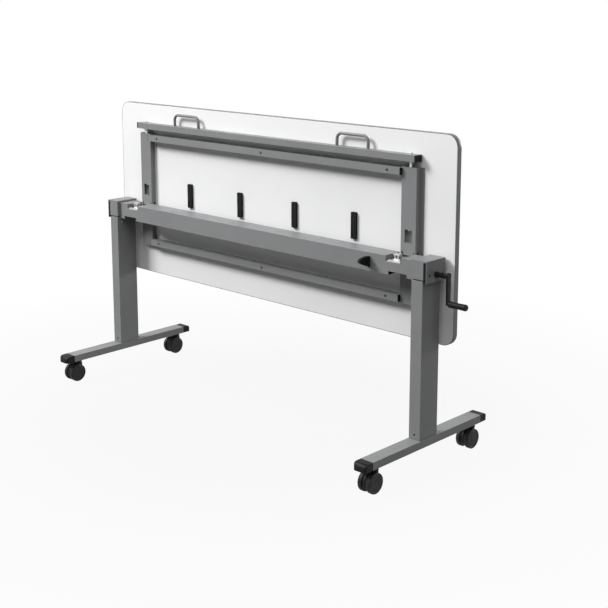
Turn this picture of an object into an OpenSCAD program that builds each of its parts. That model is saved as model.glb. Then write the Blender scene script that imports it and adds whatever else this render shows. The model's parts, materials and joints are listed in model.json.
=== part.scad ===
// Flip top training table, stored: the worktop stands upright behind the frame.
// Millimetres, +Z up. The worktop's underside faces -Y and the crank is on +X.
// The origin lies on the floor below the middle of the bounding box.

/* [Worktop] */
// Length of the worktop along X
top_length = 1600; // [1560:10:1900]
// Width of the worktop
top_width = 650; // [560:10:800]
// Thickness of the board
top_thickness = 19; // [16:1:28]
// Thickness of the edge band
edge_band = 2; // [1:0.5:3]
// Outer radius of the worktop's corners
corner_radius = 40; // [12:1:60]

/* [Underframe rails] */
// Distance from a column's centre line to the rail beside it
rail_inset = 101; // [98:1:130]
// Outer width of a rail
rail_width = 58; // [52:1:64]
// Height of a rail above the worktop's underside
rail_depth = 20; // [18:0.5:24]
// Length of a rail
rail_length = 430; // [400:10:480]
// Sheet thickness of a rail
rail_wall = 2; // [1.5:0.5:3]
// Width of the flange on a rail's outer side
rail_flange = 16; // [8:1:20]
// Width of the latch window in a rail
window_width = 28; // [24:1:34]
// Length of the latch window in a rail
window_length = 41; // [38:1:60]
// Height of a cross rail's tube
cross_height = 22; // [18:1:30]
// Depth of a cross rail's tube
cross_depth = 31; // [27:1:40]
// Wall of a cross rail's tube
cross_wall = 1.5; // [1:0.5:3]
// Distance from a rail's end to the cross rail
cross_inset = 4; // [0:1:20]
// Depth of the plug's shank inside a tube
plug_shank = 14; // [8:1:25]
// Thickness of the plug's plate
plug_plate = 2.5; // [1.5:0.5:4]

/* [Rest pads and screws] */
// Height of a rest pad
pad_thickness = 8; // [7:0.5:9]
// Width of a rest pad
pad_width = 22; // [16:1:40]
// Length of a rest pad
pad_length = 88; // [60:1:120]
// Distance between rest pads
pad_pitch = 267; // [150:1:300]
// Number of rest pads
pad_count = 4; // [2:1:4]
// Distance between the two screws of a pad
pad_screw_pitch = 58; // [30:1:70]
// Diameter of an underside screw's head
screw_head = 8; // [7:0.5:9]
// Diameter of an underside screw's shank
screw_shank = 4; // [3:0.5:5]
// Depth of an underside screw in the board
screw_depth = 12; // [8:1:14]
// Distance from the middle to a cross rail's outer screw
cross_screw_x = 556; // [300:1:560]

/* [Release bar and latch] */
// Height of the release bar
bar_height = 21; // [18:1:30]
// Depth of the release bar
bar_depth = 31; // [28:1:36]
// Wall of the release bar
bar_wall = 2; // [1:0.5:3]
// Free height between the rails and the release bar
bar_gap = 18.5; // [14:0.5:30]
// Distance from the worktop to the release bar
bar_clear = 1.3; // [0.5:0.1:3]
// Length of the release bar past the rail's centre line
bar_overhang = 28; // [20:1:60]
// Thickness of the release bar's end cap
bar_cap = 6; // [2:0.5:8]
// Diameter of a latch rod
rod_diameter = 10; // [8:0.5:11]
// Height of a latch rod's axis above the underside
rod_height = 11.7; // [11.3:0.1:12]
// Length of a latch rod's tip that shows in the window
tip_length = 5; // [2:0.5:8]
// Diameter of a latch rod's threaded end
rod_thread = 6; // [5:0.5:6]
// Width across flats of a rod nut
nut_flats = 10; // [9:0.5:13]
// Height of a rod nut
nut_height = 4.5; // [3:0.5:7]
// Length of a guide block
guide_length = 16; // [10:1:24]
// Distance between the two legs of a handle
handle_span = 131; // [90:1:200]
// Height of a handle's grip above the bar
handle_height = 41; // [30:1:48]
// Diameter of a handle's rod
handle_rod = 10; // [6:0.5:12]
// Bend radius of a handle
handle_bend = 20; // [8:1:26]
// Distance between the two handles
handle_pitch = 802; // [300:2:1000]

/* [Beam and hinge] */
// Height of the beam
beam_height = 60; // [56:1:80]
// Depth of the beam
beam_depth = 70; // [64:1:72]
// Wall of the beam
beam_wall = 2; // [1.5:0.5:3]
// Distance from the beam's back face to the hinge axis
pivot_back = 11.2; // [10.5:0.1:14]
// Distance from the beam to the worktop's middle when it lies flat
top_offset = 6; // [0:1:12]
// Diameter of a hinge pin
pin_diameter = 8; // [6:0.5:8]
// Thickness of the hinge's base plate
hinge_plate = 4; // [3:0.5:5]
// Thickness of a hinge ear
hinge_ear = 5; // [3:0.5:6]
// Outer radius of a hinge ear
ear_radius = 7.5; // [6.5:0.1:7.6]
// Distance from the hinge axis to an ear's front face
ear_front = 1; // [0:0.5:3]
// Height of the latch catch above its eye's middle
catch_rise = 9.5; // [8:0.5:10]
// Length of the latch catch along Y
catch_length = 16; // [14:1:24]
// Width of the latch catch at its eye
catch_waist = 16; // [14:0.5:20]
// Free width beside the latch catch's head in the window
catch_play = 2; // [1:0.5:4]
// Height of the latch catch's head
catch_head = 5; // [3:0.5:6]
// Height of the latch catch's foot
catch_foot = 3; // [2:0.5:4]
// Distance from the middle to the bag hook
hook_x = 538; // [300:1:560]
// Reach of the bag hook
hook_reach = 50; // [30:1:60]
// Height of the bag hook's foot
hook_height = 34; // [30:1:46]
// Height of the bag hook's tip above the middle of its foot
hook_rise = 7; // [4:1:12]
// Width of the bag hook
hook_width = 10; // [8:1:14]
// Depth of the pocket in each side of the bag hook
hook_pocket = 2.5; // [1:0.5:3]

/* [Heads and columns] */
// Distance between the two columns
column_spacing = 1472; // [1440:2:1500]
// Width of an outer column along X
column_width = 42; // [40:1:46]
// Depth of an outer column along Y
column_depth = 86; // [80:1:92]
// Wall of a column tube
column_wall = 2; // [1.5:0.1:2.2]
// Length of an outer column
column_height = 500; // [440:10:600]
// Height of the shadow gap round an outer column's base
seam_height = 2; // [1:0.5:4]
// Depth of the shadow gap round an outer column's base
seam_depth = 1; // [0.5:0.1:1.2]
// Distance from the beam's front face to the column's front face
column_front = 12; // [8:1:16]
// Width of a head's shell
head_width = 45; // [44:1:50]
// Depth of a head
head_depth = 93; // [90:1:98]
// Height of a head above the column
head_height = 62.5; // [60:0.5:70]
// Open height between a head and its column
head_gap = 4.5; // [1:0.5:6]
// Wall of a head's shell
head_wall = 3; // [2:0.5:3.2]
// Thickness of the black spacer between head and cover
spacer_width = 10; // [4:0.5:12]
// Thickness of a side cover
cover_wall = 2; // [1.5:0.5:4]
// Thickness of a side cover's lip on top of the head
cover_lip = 4; // [2:0.5:6]
// Radius at a side cover's corners
cover_radius = 3; // [1:0.5:6]
// Length of a side cover below the column's top
cover_drop = 6; // [4:1:16]
// Distance from a side cover's edge to the black spacer's
spacer_recess = 1; // [0.5:0.5:4]
// Diameter of a cover screw's head
cover_screw_head = 6; // [5:0.5:8]
// Height of the lip below a bracket
lip_height = 11; // [6:1:16]
// Wall of a bracket
bracket_wall = 4; // [3:0.5:5]
// Radius in the notch's outer corner
notch_radius = 5; // [1:0.5:5]
// Length of a bracket's spigot in the beam
spigot_length = 45; // [25:1:80]

/* [Lift] */
// Diameter of a lead screw
screw_diameter = 16; // [14:0.5:17]
// Lead of the screw's thread
thread_lead = 5; // [4:1:8]
// Depth of the screw's thread
thread_depth = 1.2; // [0.8:0.1:1.6]
// Length of the lift's travel
lift_travel = 300; // [150:10:300]
// Diameter of the cross shaft
shaft_diameter = 12; // [8:0.5:12]
// Height of the cross shaft above the column's top
shaft_rise = 17.5; // [16:0.5:19]
// Pitch radius of a bevel gear
gear_radius = 12; // [11.5:0.1:12.2]
// Teeth of a bevel gear
gear_teeth = 16; // [16:4:16]
// Outer diameter of the nut's post
post_diameter = 26; // [24:0.5:28]
// Height of the lead nut
lead_nut_height = 25; // [15:1:30]

/* [Crank] */
// Distance from the cross shaft to the grip's axis
crank_radius = 83; // [60:1:120]
// Free space between the worktop's end and the crank arm
crank_clear = 13; // [8:1:20]
// Thickness of the crank arm
arm_thickness = 8; // [6:1:12]
// Thickness of the crank arm over the end of the shaft
arm_skin = 2; // [1:0.5:3]
// Width of the crank arm at the shaft
arm_width = 16; // [16:1:26]
// Length of the crank arm above the shaft's axis to the middle of its round end
arm_rise = 4; // [0:1:10]
// Width of the crank arm at the grip
arm_tip_width = 13; // [12:1:20]
// Diameter of the sleeve on the cross shaft
hub_diameter = 15; // [14.5:0.5:20]
// Length of the grip
grip_length = 64; // [40:1:110]
// Diameter of the grip
grip_diameter = 20; // [16:1:28]
// Thickness of the grip's closed end
grip_skin = 2; // [1:0.5:3]
// Diameter of the grip's pin
grip_pin = 8; // [6:0.5:10]

/* [Feet] */
// Width of a foot tube
foot_width = 48; // [46:1:60]
// Height of a foot tube
foot_height = 25; // [20:1:40]
// Length of a foot tube
foot_length = 536; // [480:2:640]
// Wall of a foot tube
foot_wall = 2; // [1.5:0.5:3]
// Length of a foot cap outside the tube
cap_length = 36; // [20:1:50]
// Radius of a foot cap's corners, seen from above
cap_radius = 9; // [4:1:18]
// Radius along a foot cap's upper edge
cap_round = 16; // [6:1:18]

/* [Casters] */
// Diameter of a wheel
wheel_diameter = 65; // [60:1:80]
// Width of one wheel
wheel_width = 14; // [12:1:22]
// Distance from the swivel axis to the wheel's axle
caster_trail = 10; // [4:1:24]
// Free height between a wheel and the foot
caster_gap = 13.5; // [8:0.5:20]
// Distance from a foot tube's end to the swivel axis
caster_inset = 26; // [16:1:40]
// Diameter of a caster's stem
stem_diameter = 10; // [8:0.5:11]
// Diameter of a wheel axle
axle_diameter = 8; // [6:0.5:9]
// Width of a caster's body between its wheels
hood_width = 16; // [15:1:24]
// Height of the lower edge of a caster's body
hood_floor = 20; // [12:1:24]
// Diameter of a caster's crown below the foot
crown_diameter = 36; // [24:1:48]
// Radius at the edge of a wheel's tread
tread_round = 2; // [1:0.5:3]
// Width of the ring round a wheel's disc
rim_width = 6; // [4:0.5:9]

/* [Hidden] */
$fn = 64;
// Radial play of a pin or shaft that turns
running_fit = 0.05;
// Play of a piece that is pushed into another
push_fit = 0.1;
// Gap between flat faces of pieces that move past each other
flat_gap = 0.3;
// Play between rail and notch, and between plate and rail
side_gap = 2.5;
// Cut's extra length past a face
over = 1;

// Heights
foot_z = wheel_diameter + caster_gap;
foot_top = foot_z + foot_height;
column_top = foot_top + column_height;
head_z = column_top + head_gap;
head_top = column_top + head_height;
top_clear = 1.3;
beam_top = head_top - pad_thickness + top_clear;
beam_z = beam_top - beam_height;
shaft_z = column_top + shaft_rise;
pivot_z = beam_top;

// Depths, with the beam's middle at y = 0
beam_front = -beam_depth / 2;
beam_back = beam_depth / 2;
column_y = beam_front - column_front;
column_mid_y = column_y + column_depth / 2;
pivot_y = beam_back + pivot_back;
under_y = pivot_y + pad_thickness + flat_gap;
top_z = pivot_z + pivot_y + top_offset;

// Places along X, from the table's middle
column_x = column_spacing / 2;
rail_x = column_x - rail_inset;
rail_in = rail_x - rail_width / 2;
rail_out = rail_x + rail_width / 2;
notch_in = rail_in - side_gap;
notch_out = rail_out + side_gap;
head_in = column_x - head_width / 2;
head_out = column_x + head_width / 2;
cover_in = head_out + spacer_width;
cover_out = cover_in + cover_wall;
cover_z = column_top - cover_drop;
spacer_z = cover_z + spacer_recess;
spacer_front = column_y + spacer_recess;
spacer_back = column_y + head_depth - spacer_recess;
arm_x = max(top_length / 2, cover_out) + crank_clear;
grip_x = arm_x + arm_thickness + flat_gap;
grip_end = grip_x + grip_length;
shaft_tip = arm_x + arm_thickness - arm_skin;
table_x = (top_length / 2 - grip_end) / 2;

// Notch that a rail drops into
notch_play = 2;
notch_floor_gap = 1.2;
bracket_step = 12;
lip_step = 20;
notch_z = beam_top - (rail_depth - pad_thickness + hinge_plate + notch_play);
notch_back = under_y - rail_depth - notch_floor_gap;
bracket_in = notch_in + bracket_step;
bracket_z = beam_z + bracket_step;
lip_in = notch_out + lip_step;
spigot_front = beam_front + beam_wall + push_fit;
spigot_back = min(beam_back - beam_wall - push_fit, notch_back);

// Underside, measured from the worktop's middle
rail_end = rail_length / 2;
cross_v = rail_end - cross_inset - cross_height / 2;
bar_v = rail_end + bar_gap;
bar_top_v = bar_v + bar_height;
pivot_v = pivot_z - top_z;
pivot_h = under_y - pivot_y;
window_end = window_length / 2;
tip_v = window_end - tip_length;
rod_chamfer = 1;
bar_half = rail_x + bar_overhang;
handle_offset = 1;
handle_h = bar_clear + bar_depth / 2 - handle_offset;
guide_inset = 2;
guide_step = 6;

// Latch catch, where the rod's tip comes when the worktop lies flat
catch_gap = 0.7;
catch_front = pivot_y - (top_z + tip_v - pivot_z) + catch_gap;
catch_eye_z = pivot_z + under_y - rod_height - pivot_y;
catch_eye = rod_diameter + 0.8;
catch_floor = 3;
catch_top_z = catch_eye_z + catch_rise;
catch_half = window_width / 2 - catch_play;
plate_half = rail_width / 2 - rail_wall - 2;

// Inner column and the lift
slide_gap = 0.7;
inner_width = column_width - 2 * column_wall - 2 * slide_gap;
inner_depth = column_depth - 2 * column_wall - 2 * slide_gap;
inner_front = column_mid_y - inner_depth / 2;
inner_lift = 22;
inner_z = foot_top + inner_lift;
inner_drop = 12;
inner_top = head_top - head_wall - inner_drop;
box_play = 0.5;
box_wall = 2;
box_depth = 46;
box_rise = 22;
box_base = 9;
gear_room = 3.5;
box_half = inner_width / 2 - column_wall - box_play;
box_top = shaft_z + box_rise;
box_floor = shaft_z - gear_radius - gear_room;
box_z = box_floor - box_base;
screw_lift = 14;
screw_z = foot_top + screw_lift;
screw_reserve = 26;
nut_z = screw_z + lift_travel + screw_reserve;
post_floor = 4;
post_play = 1.5;
post_bore = screw_diameter + 2 * post_play;
journal = 12;

// Cross shaft
shaft_inset = 1;
shaft_end = column_x + box_half - shaft_inset;
shaft_hole = shaft_diameter + 4;
hub_x = cover_out + flat_gap;
hub_collar = 6;
bush_diameter = hub_diameter + 4;

// Grip's pin, with a head in the grip's closed end
pin_thread = grip_pin - 2;
pin_head = grip_pin + 4;
pin_head_height = 4;
pin_head_play = 0.6;
pin_head_end = grip_end - grip_skin - flat_gap;

// Casters
axle_z = wheel_diameter / 2;
stem_y = foot_length / 2 - caster_inset;
wheel_gap = 1;
wheel_in = hood_width / 2 + wheel_gap;
wheel_out = wheel_in + wheel_width;
flange_thickness = 2;
flange_diameter = 22;
crown_top = foot_z - flange_thickness - flat_gap;
crown_z = wheel_diameter + wheel_gap;
stem_socket = 20;
stem_z = axle_z + stem_socket;
hood_inset = 3;
neck_drop = 8;

// Screws through the head's cover, as places in Y and Z
cover_screw_inset = 15;
cover_screw_places = [
    [column_y + cover_screw_inset, shaft_z],
    [column_y + head_depth - cover_screw_inset, shaft_z]
];

// Screws through the hinge's plate, as places in X and Y
hinge_screw_inset = 6.5;
hinge_screw_places = [
    for (x = [-1, 1], y = [beam_front + hinge_screw_inset, notch_back - hinge_screw_inset])
        [rail_x + x * (plate_half - hinge_screw_inset), y]
];

// Rest pads, as places in X
pad_places = [for (i = [0:pad_count - 1]) (i - (pad_count - 1) / 2) * pad_pitch];

// Table's middle in the row's frame
module in_row() {
    translate([table_x, 0, 0])
        children();
}

// Right end as drawn, or mirrored to the left end
module at_end(side) {
    in_row()
        if (side > 0) children();
        else mirror([1, 0, 0]) children();
}

module both_ends() {
    at_end(1) children();
    at_end(-1) children();
}

// Local X along the worktop, Y up it, Z out of its underside
module on_underside() {
    translate([0, under_y, top_z])
        rotate([90, 0, 0])
            children();
}

// Box between two corners
module block(low, high) {
    translate(low)
        cube([for (i = [0:2]) high[i] - low[i]]);
}

// Cylinder along X from one place to another
module rod_x(from, to, diameter) {
    translate([from, 0, 0])
        rotate([0, 90, 0])
            cylinder(d = diameter, h = to - from);
}

module rounded_rectangle(length, width, radius) {
    square([length - 2 * radius, width], center = true);
    square([length, width - 2 * radius], center = true);
    for (x = [-1, 1], y = [-1, 1])
        translate([x * (length / 2 - radius), y * (width / 2 - radius)])
            circle(r = radius);
}

// Worktop

module panel() {
    color("white")
        in_row() on_underside()
            translate([0, 0, -top_thickness])
                linear_extrude(top_thickness)
                    rounded_rectangle(top_length - 2 * edge_band,
                        top_width - 2 * edge_band, corner_radius - edge_band);
}

module edge_band() {
    color("gray")
        in_row() on_underside()
            translate([0, 0, -top_thickness])
                linear_extrude(top_thickness)
                    difference() {
                        rounded_rectangle(top_length, top_width, corner_radius);
                        rounded_rectangle(top_length - 2 * edge_band,
                            top_width - 2 * edge_band, corner_radius - edge_band);
                    }
}

// Underframe

// Lower edge of a rail's web between the hinge's ears, which just passes over the plate
function web_edge() =
    let (plate = rail_depth - pad_thickness + notch_play - flat_gap)
    pivot_v - sqrt(pow(plate, 2) - pow(rail_depth - pivot_h, 2));

module rail(side) {
    plate_low = notch_z - top_z - over;
    ear_high = pivot_v + ear_front + over;
    ear_in = plate_half - hinge_ear - over;
    color("dimgray")
        at_end(side) on_underside()
            difference() {
                union() {
                    block([rail_in, -rail_end, 0], [rail_out, rail_end, rail_depth]);
                    block([rail_out - over, -rail_end, 0],
                        [rail_out + rail_flange, rail_end, rail_wall]);
                }
                block([rail_in + rail_wall, -rail_end - over, -over],
                    [rail_out - rail_wall, rail_end + over, rail_depth - rail_wall]);
                translate([rail_x, 0, rail_depth])
                    cube([window_width, window_length, 3 * rail_wall], center = true);
                block([rail_x - plate_half - over, plate_low, rail_depth - 2 * rail_wall],
                    [rail_x + plate_half + over, web_edge(), rail_depth + over]);
                for (x = [rail_x - plate_half - over, rail_x + ear_in])
                    block([x, plate_low, rail_depth - 2 * rail_wall],
                        [x + hinge_ear + 2 * over, ear_high, rail_depth + over]);
                translate([0, pivot_v, pivot_h])
                    rod_x(rail_in - over, rail_out + over, pin_diameter + 2 * running_fit);
            }
}

module cross_rail(place) {
    color("dimgray")
        in_row() on_underside()
            translate([0, place * cross_v, cross_depth / 2])
                difference() {
                    cube([2 * rail_in, cross_height, cross_depth], center = true);
                    cube([2 * rail_in + over, cross_height - 2 * cross_wall,
                        cross_depth - 2 * cross_wall], center = true);
                    for (x = [-cross_screw_x, 0, cross_screw_x])
                        translate([x, 0, 0]) {
                            cylinder(d = screw_head + 2 * push_fit, h = cross_depth);
                            translate([0, 0, -cross_depth])
                                cylinder(d = screw_shank + 2 * push_fit, h = cross_depth);
                        }
                }
}

module cross_plugs() {
    play = cross_wall + push_fit;
    color("black")
        both_ends() on_underside()
            for (place = [-1, 1])
                translate([0, place * cross_v - cross_height / 2, 0]) {
                    block([rail_in, 0, rail_depth + flat_gap],
                        [rail_in + plug_plate, cross_height, cross_depth]);
                    block([rail_in - plug_shank, play, play],
                        [rail_in + over, cross_height - play, cross_depth - play]
                            - [over, 0, 0]);
                }
}

// Screw with its head's seat at z = 0 and its shank below
module screw(length, head_height, head = screw_head) {
    cylinder(d = head, h = head_height);
    translate([0, 0, -length])
        cylinder(d = screw_shank, h = length + over);
}

module underside_screws() {
    color("silver")
        in_row() on_underside() {
            for (place = [-1, 1], x = [-cross_screw_x, 0, cross_screw_x])
                translate([x, place * cross_v, cross_wall])
                    screw(screw_depth + cross_wall, 3);
            for (x = pad_places, v = [-1, 1])
                translate([x, v * pad_screw_pitch / 2, pad_thickness / 2])
                    screw(screw_depth + pad_thickness / 2, 2.5);
        }
}

module rest_pads() {
    color("black")
        in_row() on_underside()
            for (x = pad_places)
                translate([x, 0, 0])
                    difference() {
                        linear_extrude(pad_thickness)
                            rounded_rectangle(pad_width, pad_length, 3);
                        for (v = [-1, 1])
                            translate([0, v * pad_screw_pitch / 2, 0]) {
                                translate([0, 0, -over])
                                    cylinder(d = screw_shank + 2 * push_fit,
                                        h = pad_thickness);
                                translate([0, 0, pad_thickness / 2])
                                    cylinder(d = screw_head + 2 * push_fit,
                                        h = pad_thickness);
                            }
                    }
}

module rod_guides() {
    side = rail_wall + push_fit;
    color("black")
        both_ends() on_underside()
            for (low = [window_end + guide_step, rail_end - guide_length - guide_inset])
                difference() {
                    block([rail_in + side, low, push_fit],
                        [rail_out - side, low + guide_length,
                            rail_depth - rail_wall - push_fit]);
                    translate([rail_x, low - over, rod_height])
                        rotate([-90, 0, 0])
                            cylinder(d = rod_diameter + 2 * running_fit,
                                h = guide_length + 2 * over);
                }
}

// Release bar

module release_bar() {
    color("dimgray")
        in_row() on_underside()
            translate([0, bar_v, bar_clear])
                difference() {
                    block([-bar_half, 0, 0], [bar_half, bar_height, bar_depth]);
                    block([-bar_half - over, bar_wall, bar_wall],
                        [bar_half + over, bar_height - bar_wall, bar_depth - bar_wall]);
                    for (x = [-rail_x, rail_x])
                        translate([x, -over, rod_height - bar_clear])
                            rotate([-90, 0, 0])
                                cylinder(d = rod_thread + 2 * push_fit,
                                    h = bar_height + 2 * over);
                }
}

module bar_caps() {
    play = bar_wall + push_fit;
    color("black")
        both_ends() on_underside()
            translate([0, bar_v, bar_clear]) {
                block([bar_half, 0, 0],
                    [bar_half + bar_cap, bar_height, bar_depth]);
                block([bar_half - plug_shank, play, play],
                    [bar_half, bar_height - play, bar_depth - play]);
            }
}

module handle_corner() {
    rotate_extrude(angle = 90)
        translate([handle_bend, 0])
            circle(d = handle_rod, $fn = 32);
}

module bar_handle(side) {
    reach = handle_span / 2 - handle_bend;
    rise = handle_height - handle_bend;
    color("dimgray")
        at_end(side) on_underside()
            translate([handle_pitch / 2, bar_top_v, handle_h]) {
                for (leg = [-1, 1])
                    translate([leg * handle_span / 2, 0, 0])
                        rotate([-90, 0, 0])
                            cylinder(d = handle_rod, h = rise, $fn = 32);
                translate([reach, rise, 0])
                    handle_corner();
                translate([-reach, rise, 0])
                    rotate([0, 180, 0])
                        handle_corner();
                translate([0, handle_height, 0])
                    rotate([0, 90, 0])
                        cylinder(d = handle_rod, h = 2 * reach, center = true, $fn = 32);
            }
}

module latch_rods() {
    color("silver")
        both_ends() on_underside()
            translate([rail_x, tip_v, rod_height])
                rotate([-90, 0, 0]) {
                    cylinder(d1 = rod_diameter - 2 * rod_chamfer, d2 = rod_diameter,
                        h = rod_chamfer);
                    translate([0, 0, rod_chamfer])
                        cylinder(d = rod_diameter, h = bar_v - tip_v - rod_chamfer);
                    cylinder(d = rod_thread, h = bar_top_v - tip_v + nut_height + rod_chamfer);
                }
}

module rod_nuts() {
    color("silver")
        both_ends() on_underside()
            translate([rail_x, bar_top_v, rod_height])
                rotate([-90, 0, 0])
                    difference() {
                        cylinder(d = nut_flats / cos(30), h = nut_height, $fn = 6);
                        translate([0, 0, -over])
                            cylinder(d = rod_thread, h = nut_height + 2 * over);
                    }
}

// Hinge with its catch

// Latch catch: a wide head and foot with a waist that holds the eye
module catch() {
    back = catch_front + catch_length;
    plate_top = notch_z + hinge_plate;
    block([rail_x - catch_half, catch_front, notch_z],
        [rail_x + catch_half, back, plate_top + catch_foot]);
    block([rail_x - catch_waist / 2, catch_front, notch_z],
        [rail_x + catch_waist / 2, back, catch_top_z]);
    block([rail_x - catch_half, catch_front, catch_top_z - catch_head],
        [rail_x + catch_half, back, catch_top_z]);
}

module hinge(side) {
    ear_in = plate_half - hinge_ear;
    color("lightgray")
        at_end(side)
            difference() {
                union() {
                    block([rail_x - plate_half, beam_front + over, notch_z],
                        [rail_x + plate_half, pivot_y + ear_radius, notch_z + hinge_plate]);
                    for (x = [rail_x - plate_half, rail_x + ear_in]) {
                        block([x, pivot_y - ear_front, notch_z],
                            [x + hinge_ear, pivot_y + ear_radius, pivot_z]);
                        translate([0, pivot_y, pivot_z])
                            rod_x(x, x + hinge_ear, 2 * ear_radius);
                    }
                    catch();
                }
                translate([0, pivot_y, pivot_z])
                    rod_x(rail_in, rail_out, pin_diameter + 2 * running_fit);
                translate([rail_x, catch_front - over, catch_eye_z])
                    rotate([-90, 0, 0])
                        cylinder(d = catch_eye, h = catch_length - catch_floor + over);
                for (place = hinge_screw_places)
                    translate([place[0], place[1], notch_z - over])
                        cylinder(d = screw_shank + 2 * push_fit, h = hinge_plate + 2 * over);
            }
}

module hinge_screws() {
    color("silver")
        both_ends()
            for (place = hinge_screw_places)
                translate([place[0], place[1], notch_z + hinge_plate])
                    screw(hinge_plate + bracket_wall, notch_play - flat_gap);
}

module hinge_pins() {
    color("silver")
        both_ends()
            translate([0, pivot_y, pivot_z])
                rod_x(rail_in - flat_gap, rail_out + flat_gap, pin_diameter);
}

// Beam and brackets

module beam() {
    color("dimgray")
        in_row()
            difference() {
                block([-bracket_in, beam_front, beam_z], [bracket_in, beam_back, beam_top]);
                block([-bracket_in - over, beam_front + beam_wall, beam_z + beam_wall],
                    [bracket_in + over, beam_back - beam_wall, beam_top - beam_wall]);
                for (side = [0, 1])
                    mirror([side, 0, 0]) {
                        block([notch_in, beam_front - over, notch_z],
                            [bracket_in + over, beam_back + over, beam_top + over]);
                        block([notch_in, min(notch_back, beam_back - beam_wall),
                                beam_z - over],
                            [bracket_in + over, beam_back + over, notch_z + over]);
                    }
            }
}

module bracket(side) {
    wall = bracket_wall;
    color("dimgray")
        at_end(side)
            difference() {
                union() {
                    block([bracket_in, beam_front, bracket_z], [head_in, notch_back, notch_z]);
                    block([notch_out, beam_front, bracket_z], [head_in, beam_back, beam_top]);
                    block([lip_in, beam_front, bracket_z - lip_height],
                        [head_in, beam_back, bracket_z + over]);
                    block([notch_in - spigot_length, spigot_front, bracket_z],
                        [bracket_in, spigot_back, notch_z - push_fit]);
                    block([notch_in - wall, spigot_front, notch_z - over],
                        [notch_in - push_fit, spigot_back, beam_top - beam_wall - push_fit]);
                }
                block([notch_in - spigot_length - over, spigot_front + wall, bracket_z + wall],
                    [bracket_in, spigot_back - wall, notch_z - wall]);
                block([bracket_in - over, beam_front + wall, bracket_z + wall],
                    [head_in - wall, notch_back - wall, notch_z - wall]);
                block([notch_out + wall, beam_front + wall, bracket_z + wall],
                    [head_in - wall, beam_back - wall, beam_top - wall]);
                translate([0, 0, shaft_z])
                    rod_x(notch_in - spigot_length, head_in + over, shaft_hole);
                for (place = hinge_screw_places)
                    translate([place[0], place[1], notch_z - wall - over])
                        cylinder(d = screw_shank + 2 * push_fit, h = wall + 2 * over);
            }
    color("dimgray")
        at_end(side)
            difference() {
                block([notch_out - notch_radius, beam_front, notch_z],
                    [notch_out, notch_back, notch_z + notch_radius]);
                translate([notch_out - notch_radius, beam_front - over,
                        notch_z + notch_radius])
                    rotate([-90, 0, 0])
                        cylinder(r = notch_radius, h = beam_depth + 2 * over);
            }
}

// Side view of the bag hook, with its foot at x = 0
module hook_outline() {
    half = hook_height / 2;
    polygon([
        [0, -half],
        [0, half],
        [-0.38 * hook_reach, half + 0.3 * hook_rise],
        [-0.85 * hook_reach, hook_rise + 8],
        [-0.97 * hook_reach, hook_rise + 4],
        [-hook_reach, hook_rise],
        [-0.97 * hook_reach, hook_rise - 4],
        [-0.84 * hook_reach, hook_rise - 8],
        [-3, -half]
    ]);
}

module bag_hook() {
    pocket_share = 0.62;
    pocket_middle = [-0.36 * hook_reach, 0.3 * hook_rise];
    color("black")
        in_row()
            translate([hook_x, beam_front, (beam_z + beam_top) / 2])
                rotate([90, 0, 90])
                    difference() {
                        linear_extrude(hook_width, center = true)
                            hook_outline();
                        for (side = [-1, 1])
                            translate([0, 0, side * hook_width / 2])
                                linear_extrude(2 * hook_pocket, center = true)
                                    translate((1 - pocket_share) * pocket_middle)
                                        scale(pocket_share)
                                            hook_outline();
                    }
}

// Heads

module head(side) {
    wall = head_wall;
    color("dimgray")
        at_end(side)
            difference() {
                block([head_in, column_y, head_z], [head_out, column_y + head_depth, head_top]);
                block([head_in + wall, min(column_y + wall, inner_front - push_fit), head_z - over],
                    [head_out - wall, column_y + head_depth - wall, head_top - wall]);
                translate([0, 0, shaft_z])
                    rod_x(head_in - over, head_out + over, shaft_hole);
                for (place = cover_screw_places)
                    translate([0, place[0], place[1]])
                        rod_x(head_out - wall - over, head_out + over,
                            screw_shank + 2 * push_fit);
            }
}

module head_spacers() {
    color("black")
        both_ends()
            difference() {
                block([head_out, spacer_front, spacer_z],
                    [cover_in, spacer_back, head_top - cover_lip]);
                translate([0, 0, shaft_z])
                    rod_x(head_out - over, cover_in + over, shaft_hole);
                for (place = cover_screw_places)
                    translate([0, place[0], place[1]])
                        rod_x(head_out - over, cover_in + over, screw_shank + 2 * push_fit);
            }
}

module cover(side) {
    height = head_top - cover_z;
    color("dimgray")
        at_end(side) {
            difference() {
                translate([cover_in, column_y + head_depth / 2, cover_z + height / 2])
                    rotate([90, 0, 90])
                        linear_extrude(cover_wall)
                            rounded_rectangle(head_depth, height, cover_radius);
                translate([0, 0, shaft_z])
                    rod_x(cover_in - over, cover_out + over, bush_diameter);
                for (place = cover_screw_places)
                    translate([0, place[0], place[1]])
                        rod_x(cover_in - over, cover_out + over, screw_shank + 2 * push_fit);
            }
            block([head_out, column_y, head_top - cover_lip],
                [cover_in, column_y + head_depth, head_top]);
            block([cover_in, column_y + cover_radius, head_top - cover_radius],
                [cover_in + over, column_y + head_depth - cover_radius, head_top]);
        }
}

module cover_screws() {
    cover_screw_height = 1;
    color("silver")
        both_ends()
            for (place = cover_screw_places)
                translate([cover_out, place[0], place[1]])
                    rotate([0, 90, 0])
                        screw(cover_wall + spacer_width + head_wall, cover_screw_height,
                            cover_screw_head);
}

module gearbox(side) {
    color("silver")
        at_end(side)
            difference() {
                block([column_x - box_half, -box_depth / 2, box_z],
                    [column_x + box_half, box_depth / 2, box_top]);
                block([column_x - box_half + box_wall, -box_depth / 2 + box_wall, box_floor],
                    [column_x + box_half - box_wall, box_depth / 2 - box_wall,
                        box_top - box_wall]);
                translate([0, 0, shaft_z])
                    rod_x(column_x - box_half - over, column_x + box_half + over,
                        shaft_diameter + 2 * running_fit);
                translate([column_x, 0, box_z - over])
                    cylinder(d = journal + 2 * running_fit, h = box_base + 2 * over);
            }
}

// Columns

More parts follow.
